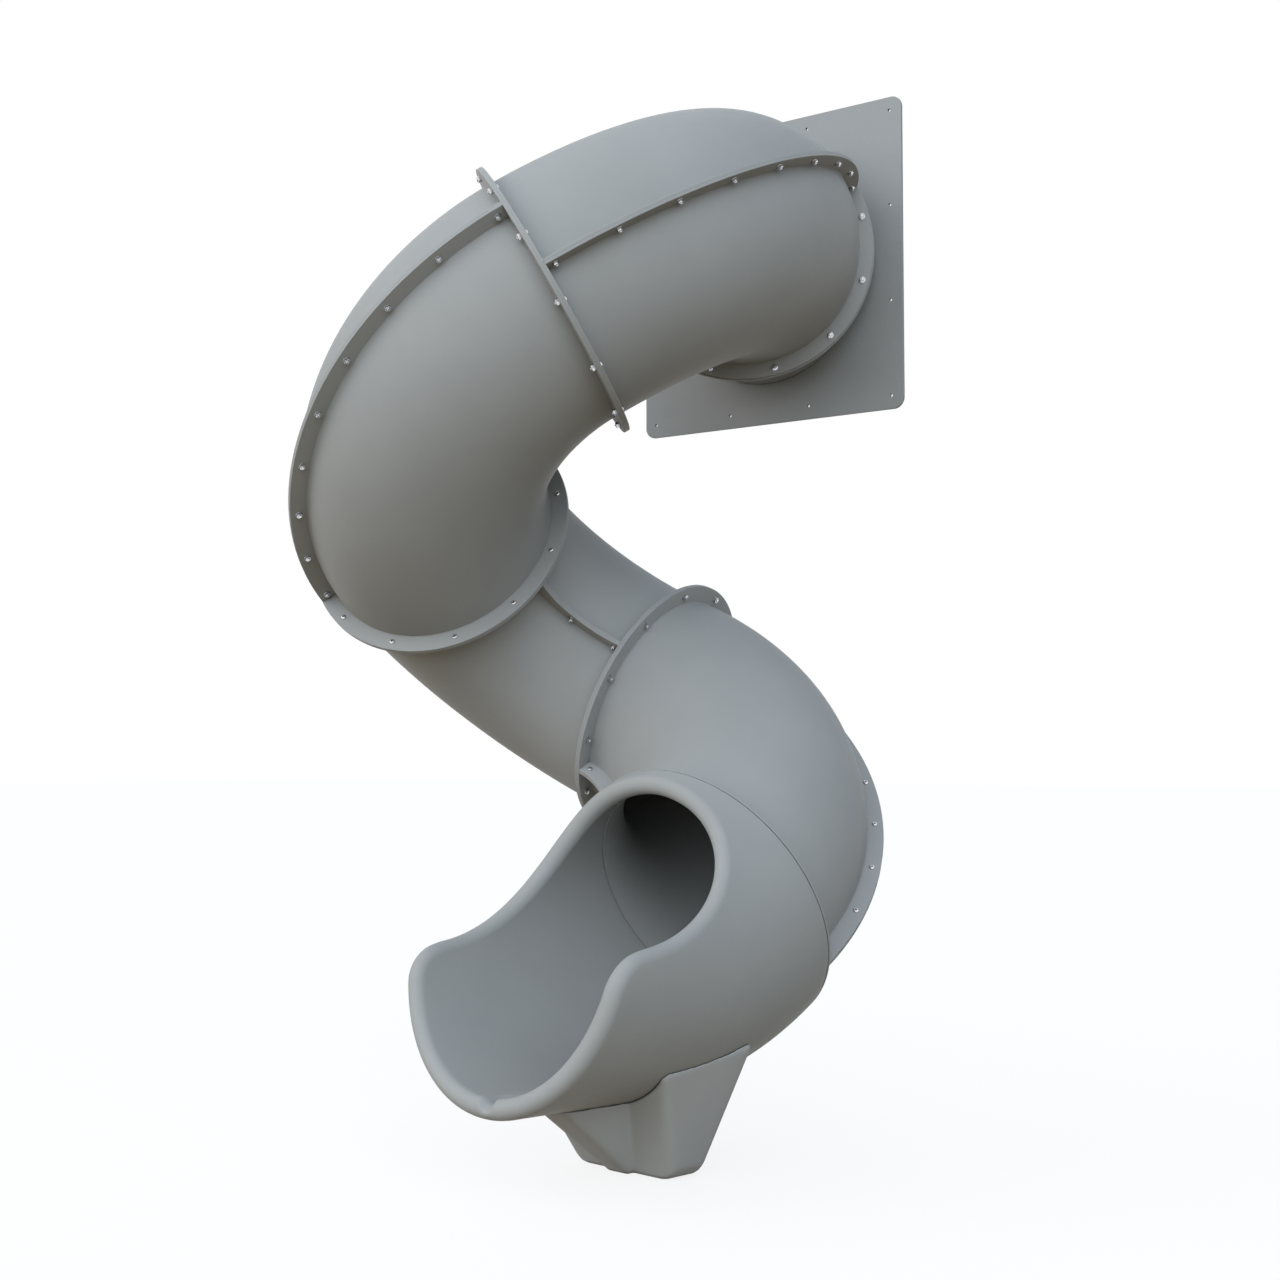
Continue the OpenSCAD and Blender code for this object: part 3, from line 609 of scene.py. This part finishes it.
# Foot
FOOT_GRID = 0.004  # size of the faces of the foot's skin, in metres
FOOT_WELD = 2e-5  # points of the foot's solid that are nearer than this are one, in metres
FOOT_SOFTENING = 18  # rounds of smoothing, more of them for softer edges
FOOT_STILL, FOOT_EASE = 0.008, 0.015  # height that keeps its shape, and that on which smoothing sets in
FOOT_KEPT = 0.35  # share of the foot's faces that is kept after smoothing


def even_skin(mesh, size):
    """The same solid with a skin of small, even faces."""
    holder = bpy.data.objects.new("skin", mesh)
    bpy.context.scene.collection.objects.link(holder)
    remesh = holder.modifiers.new("skin", "REMESH")
    remesh.mode, remesh.voxel_size = "VOXEL", size
    bpy.context.view_layer.update()
    even = bpy.data.meshes.new_from_object(holder.evaluated_get(bpy.context.evaluated_depsgraph_get()))
    bpy.data.objects.remove(holder)
    return even


def soften(mesh, rounds, still, ease):
    """Draws each point of a mesh towards its neighbours, more so further above its still base."""
    n = len(mesh.vertices)
    points = np.empty(n * 3, np.float32)
    mesh.vertices.foreach_get("co", points)
    points = points.reshape(n, 3).astype(float)
    ends = np.empty(len(mesh.edges) * 2, np.int32)
    mesh.edges.foreach_get("vertices", ends)
    a, b = ends.reshape(-1, 2).T
    neighbours = np.bincount(ends, minlength=n)
    free = 0.5 * np.clip((points[:, 2] - still) / ease, 0.0, 1.0)
    for _ in range(rounds):
        for k in range(3):
            x = points[:, k]
            total = np.bincount(a, x[b], n) + np.bincount(b, x[a], n)
            points[:, k] = x + free * (total / neighbours - x)
    mesh.vertices.foreach_set("co", points.ravel())
    mesh.update()


def foot_moulding():
    """The foot's solid, with its edges and creases softened as in a hollow moulding."""
    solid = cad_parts["exit_foot"].data.copy()
    solid.materials.clear()
    bm = bmesh.new()
    bm.from_mesh(solid)
    bmesh.ops.remove_doubles(bm, verts=bm.verts, dist=FOOT_WELD)
    bmesh.ops.recalc_face_normals(bm, faces=bm.faces)
    bm.to_mesh(solid)
    bm.free()
    mesh = even_skin(solid, FOOT_GRID)
    soften(mesh, FOOT_SOFTENING, FOOT_STILL, FOOT_EASE)
    obj = finished(mesh, "exit_foot_moulding", foot_mat, ["exit_foot"])
    obj.modifiers.new("fewer_faces", "DECIMATE").ratio = FOOT_KEPT


# Fasteners, each built about Z with the joint's face at zero. The head lies below and the nut above.
JOINT_BOLT_LEN = 2 * FLANGE_T + WASHER_T + NUT_H + STAND_OUT
EXIT_BOLT_LEN = FLANGE_T + INSERT_GRIP
CENTRE = 0.01  # radius of the innermost points of a bolt's ends
DOME = [(0.56, 0.02), (0.70, 0.45), (0.82, 1.3), (0.92, 2.5), (0.985, 3.9)]  # radius as a share, way down
HEAD_EDGE = (0.4, 0.6)  # rounding of the head's edge at its seat, way in and way off the seat
SOCKET_BEVEL, SOCKET_BEVEL_DEPTH, SOCKET_CORNER = 0.9, 0.35, (0.1, 0.2)
THREAD_LEN, THREAD_PITCH, THREAD_END = 9.0, 1.5, 1.6  # the whole thread, one turn, and its plain end
THREAD_TURN = [(0.38, 0.75), (0.52, 0.75), (1.1, 0.0), (1.3, 0.0)]  # way along one turn, and depth
TIP_BEVEL = 1.0
WASHER_IN, WASHER_OUT, WASHER_MID = 0.2, 0.5, 0.15  # roundings of a washer's hole and rim
NUT_BEVEL = 0.9  # of a nut's hole, at its free end
NUT_FACE = 0.95  # radius of a nut's flat end, as a share of half its width
NUT_DROP, NUT_SLOPE = 0.15, 0.58  # how a nut's chamfered corners fall away from its ends
BOLT_SIDES, NUT_SIDES = 36, 48
NEXT_TURN, NAME_TURN = 47, 13  # degrees for each fastener, and for each letter of the piece's name


def hexagon(af):
    """Radius of a hexagon at an angle, from its width across flats."""
    return lambda a: af / 2 / math.cos((a + math.pi / 6) % (math.pi / 3) - math.pi / 6)


def about_z(profile, sides):
    """Rows of points about Z. A radius may depend on the angle, and a height on the radius."""
    rows = []
    for radius, height in profile:
        row = []
        for i in range(sides):
            a = 2 * math.pi * i / sides
            r = radius(a) if callable(radius) else radius
            row.append((r * math.cos(a), r * math.sin(a), height(r) if callable(height) else height))
        rows.append(row)
    return np.array(rows)


def bolt_rows(clamp, length):
    """A low button head below, its shank above, with a few turns of thread at its end."""
    seat, top = -clamp, -clamp - HEAD_H
    floor, (corner_in, corner_up) = top + SOCKET_DEPTH, SOCKET_CORNER
    shank, head = BOLT_D / 2, HEAD_D / 2
    socket = hexagon(SOCKET_AF)
    profile = [(CENTRE, floor), (hexagon(SOCKET_AF - corner_in), floor), (socket, floor - corner_up)]
    profile += [(socket, top + SOCKET_BEVEL_DEPTH), (hexagon(SOCKET_AF + SOCKET_BEVEL), top)]
    profile += [(head * share, top + down) for share, down in DOME]
    profile += [(head, seat - HEAD_EDGE[1]), (head - HEAD_EDGE[0], seat), (shank, seat)]
    end = seat + length
    turn = end - THREAD_LEN
    profile.append((shank, turn))
    while turn < end - THREAD_END:
        profile += [(shank - depth, turn + way) for way, depth in THREAD_TURN]
        turn += THREAD_PITCH
    profile += [(shank - TIP_BEVEL, end), (CENTRE, end)]
    return about_z(profile, BOLT_SIDES)


def washer_rows(clamp):
    low, high, hole, rim = clamp, clamp + WASHER_T, BOLT_D / 2 + HOLE_GAP, WASHER_D / 2
    profile = [(hole, low + WASHER_IN), (hole, high - WASHER_IN), (hole + WASHER_IN, high)]
    profile += [(rim - WASHER_OUT, high), (rim - WASHER_MID, high - WASHER_MID), (rim, high - WASHER_OUT)]
    profile += [(rim, low + WASHER_OUT), (rim - WASHER_OUT, low), (hole + WASHER_IN, low)]
    return about_z(profile, BOLT_SIDES)


def nut_rows(clamp):
    """A hexagon nut, its corners chamfered in curves."""
    low, high = clamp + WASHER_T, clamp + WASHER_T + NUT_H
    hole, flat = BOLT_D / 2 + THREAD_GAP, NUT_AF / 2
    profile = [(hole, low), (hole, high - NUT_BEVEL), (hole + NUT_BEVEL, high), (flat * NUT_FACE, high)]
    profile.append((hexagon(NUT_AF), lambda r: high - NUT_DROP - (r - flat) * NUT_SLOPE))
    profile.append((hexagon(NUT_AF), lambda r: low + NUT_DROP + (r - flat) * NUT_SLOPE))
    profile.append((flat * NUT_FACE, low))
    return about_z(profile, NUT_SIDES)


def placed(rows, origin, x, y, z, turn):
    c, s = math.cos(turn), math.sin(turn)
    turned_x, turned_y = c * x + s * y, c * y - s * x
    return origin + rows[..., :1] * turned_x + rows[..., 1:2] * turned_y + rows[..., 2:3] * z


def ring_places(place):
    """Origin and axes of each bolt round a joint."""
    p, t, b = place
    side = np.cross(t, -b)
    for k in range(JOINT_BOLTS):
        a = math.radians(360 / JOINT_BOLTS * (k + 0.5))
        radial = -b * math.cos(a) + side * math.sin(a)
        yield p + BOLT_R * radial, radial, np.cross(t, radial), t


def seam_places(start):
    """Origin and axes of each bolt along the two seams of an elbow."""
    z = np.cross(-start[2], start[1])
    for out, count in ((BOLT_R, OUTER_BOLTS), (-BOLT_R, INNER_BOLTS)):
        end = math.degrees(SEAM_GAP / (BEND_R + out))
        for k in range(count):
            angle = end + (BEND_ANGLE - 2 * end) * k / (count - 1)
            q = in_bend(start, BEND_R, angle, out, 0.0)
            x = in_bend(start, BEND_R, angle, out + 1, 0.0) - q
            yield q, x, np.cross(z, x), z


def fasteners(node, places, parts):
    """All fasteners of one node, turned about their axes by different amounts."""
    name = node + "_detail"
    shape = Shape()
    for k, (origin, x, y, z) in enumerate(places):
        turn = math.radians((k * NEXT_TURN + len(name) * NAME_TURN) % 60)
        for rows, closed in parts:
            shape.grid(placed(rows, origin, x, y, z, turn), close_rows=closed)
    shape.object(name, zinc_mat, [node], sharp=32.0)


def all_fasteners():
    bolt = [(bolt_rows(FLANGE_T, JOINT_BOLT_LEN), False)]
    nut = [(washer_rows(FLANGE_T), True), (nut_rows(FLANGE_T), True)]
    for n in range(1, ELBOWS + 1):
        fasteners(f"joint_{n}_bolts", ring_places(joints[n - 1]), bolt)
        fasteners(f"joint_{n}_nuts", ring_places(joints[n - 1]), nut)
        fasteners(f"seam_{n}_bolts", seam_places(starts[n - 1]), bolt)
        fasteners(f"seam_{n}_nuts", seam_places(starts[n - 1]), nut)
    fasteners("exit_joint_bolts", ring_places(joints[-1]), [(bolt_rows(FLANGE_T, EXIT_BOLT_LEN), False)])


def plain_fasteners():
    """The small fasteners whose solids stay as they are, with a better material."""
    for node, material in (
        ("entry_screws", zinc_mat),
        ("foot_bolts", zinc_mat),
        ("exit_joint_inserts", brass_mat),
        ("foot_inserts", brass_mat),
    ):
        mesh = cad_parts[node].data
        mesh.materials.clear()
        mesh.materials.append(material)


# Floor, light and camera
SKY_COLOUR = (0.232, 0.30, 0.392)
SOFT_LIGHTS = [  # the way towards each light, how narrow it is, and its colour
    ((0.595, -0.804, 0.3), 4.0, (2.90, 3.22, 3.48)),
    ((-0.80, -0.60, 0.25), 4.0, (2.32, 2.30, 2.24)),
    ((-0.595, 0.804, 0.4), 4.0, (0.50, 0.66, 0.84)),
    ((-0.595, 0.804, 0.0), 14.0, (3.60, 3.80, 4.00)),
]
FLOOR_HALF = 60.0  # half the floor's side, in metres
FLOOR_COLOUR = (0.29, 0.213, 0.122, 1)  # what lights the object from below
FLOOR_SEEN = (0.9, 0.9, 0.9, 1)  # what the object's shadow falls on
FLOOR_GLOW = 0.84  # share of the seen floor that is plain white
KEY_AT, KEY_AIM, KEY_SIZE = (-4.5, -7.0, 6.5), (-0.3, 0.1, 1.7), 4.0
KEY_POWER, KEY_COLOUR = 60.0, (1.0, 0.985, 0.96)
CAMERA_AT = vec(3458.5, -5417.3, -1662.3)  # from the middle of the panel's opening
CAMERA_YAW, CAMERA_PITCH = 36.52, 3.48
SENSOR, LENS = 36.0, 52.68
CLIP_START, CLIP_END = 0.05, 200.0


def either_or(nodes, links, share, a, b):
    """Mixes two shaders by a share, which is a number or a socket."""
    mix = nodes.new("ShaderNodeMixShader")
    if isinstance(share, float):
        mix.inputs["Fac"].default_value = share
    else:
        links.new(share, mix.inputs["Fac"])
    links.new(a, mix.inputs[1])
    links.new(b, mix.inputs[2])
    return mix.outputs[0]


def worked_out(nodes, links, operation, a, b):
    """The result of an operation on a socket and on another socket or a number."""
    maths = nodes.new("ShaderNodeMath")
    maths.operation = operation
    links.new(a, maths.inputs[0])
    if isinstance(b, float):
        maths.inputs[1].default_value = b
    else:
        links.new(b, maths.inputs[1])
    return maths.outputs[0]


def seen_directly(nodes, links):
    """1 for camera rays and for reflected and refracted ones, which all show the white backdrop."""
    path = nodes.new("ShaderNodeLightPath")
    total = path.outputs["Is Camera Ray"]
    for kind in ("Is Glossy Ray", "Is Transmission Ray"):
        total = worked_out(nodes, links, "MAXIMUM", total, path.outputs[kind])
    return total


def diffuse(nodes, colour):
    shader = nodes.new("ShaderNodeBsdfDiffuse")
    shader.inputs["Color"].default_value = colour
    return shader.outputs[0]


def white_floor():
    """A warm floor that lights the object from below, and is seen as white with its faint shadow."""
    mesh = bpy.data.meshes.new("floor")
    corners = [(x * FLOOR_HALF, y * FLOOR_HALF, 0) for x, y in ((-1, -1), (1, -1), (1, 1), (-1, 1))]
    mesh.from_pydata(corners, [], [(0, 1, 2, 3)])
    floor = bpy.data.objects.new("floor", mesh)
    bpy.context.scene.collection.objects.link(floor)
    material = bpy.data.materials.new("floor")
    material.use_nodes = True
    nodes, links = material.node_tree.nodes, material.node_tree.links
    nodes.clear()
    glow = nodes.new("ShaderNodeEmission")
    glow.inputs["Strength"].default_value = 1.0
    seen = either_or(nodes, links, FLOOR_GLOW, diffuse(nodes, FLOOR_SEEN), glow.outputs[0])
    shader = either_or(nodes, links, seen_directly(nodes, links), diffuse(nodes, FLOOR_COLOUR), seen)
    out = nodes.new("ShaderNodeOutputMaterial")
    links.new(shader, out.inputs["Surface"])
    mesh.materials.append(material)


def soft_dome():
    """Pale sky light with broad soft lobes, behind a white backdrop."""
    world = bpy.data.worlds.new("studio")
    bpy.context.scene.world = world
    world.use_nodes = True
    nodes, links = world.node_tree.nodes, world.node_tree.links
    nodes.clear()
    way = nodes.new("ShaderNodeTexCoord").outputs["Generated"]
    glow = nodes.new("ShaderNodeRGB").outputs[0]
    glow.default_value = (*SKY_COLOUR, 1)
    for towards, narrow, colour in SOFT_LIGHTS:
        facing = nodes.new("ShaderNodeVectorMath")
        facing.operation = "DOT_PRODUCT"
        links.new(way, facing.inputs[0])
        facing.inputs[1].default_value = Vector(towards).normalized()
        front = worked_out(nodes, links, "MAXIMUM", facing.outputs["Value"], 0.0)
        lobe = worked_out(nodes, links, "POWER", front, narrow)
        add = nodes.new("ShaderNodeMix")
        add.data_type, add.blend_type = "RGBA", "ADD"
        links.new(lobe, add.inputs["Factor"])
        links.new(glow, add.inputs["A"])
        add.inputs["B"].default_value = (*colour, 1)
        glow = add.outputs["Result"]
    light = nodes.new("ShaderNodeBackground")
    links.new(glow, light.inputs["Color"])
    white = nodes.new("ShaderNodeBackground")
    white.inputs["Color"].default_value = (1, 1, 1, 1)
    shader = either_or(nodes, links, seen_directly(nodes, links), light.outputs[0], white.outputs[0])
    out = nodes.new("ShaderNodeOutputWorld")
    links.new(shader, out.inputs["Surface"])


def aimed(obj, at, way):
    """Puts a lamp or camera into the scene, looking a way."""
    obj.location = at
    obj.rotation_mode = "QUATERNION"
    obj.rotation_quaternion = way.to_track_quat("-Z", "Y")
    bpy.context.scene.collection.objects.link(obj)


def key_lamp():
    data = bpy.data.lights.new("key", "AREA")
    data.shape, data.size, data.energy, data.color = "DISK", KEY_SIZE, KEY_POWER, KEY_COLOUR
    aimed(bpy.data.objects.new("key", data), Vector(KEY_AT), Vector(KEY_AIM) - Vector(KEY_AT))


def photo_camera():
    """The camera at the photo's viewing angle."""
    yaw, pitch = math.radians(CAMERA_YAW), math.radians(CAMERA_PITCH)
    data = bpy.data.cameras.new("camera")
    data.sensor_width, data.lens = SENSOR, LENS
    data.clip_start, data.clip_end = CLIP_START, CLIP_END
    camera = bpy.data.objects.new("camera", data)
    way = Vector((-math.sin(yaw) * math.cos(pitch), math.cos(yaw) * math.cos(pitch), math.sin(pitch)))
    aimed(camera, Vector(((CAMERA_AT - base) * MM).tolist()), way)
    bpy.context.scene.camera = camera


for n in range(1, ELBOWS + 1):
    half_shell(n, -1.0, f"elbow_{n}_upper")
    half_shell(n, 1.0, f"elbow_{n}_lower")
entry_tube()
entry_plate()
exit_moulding()
foot_moulding()
all_fasteners()
plain_fasteners()
white_floor()
soft_dome()
key_lamp()
photo_camera()
bpy.context.scene.view_settings.view_transform = "Standard"
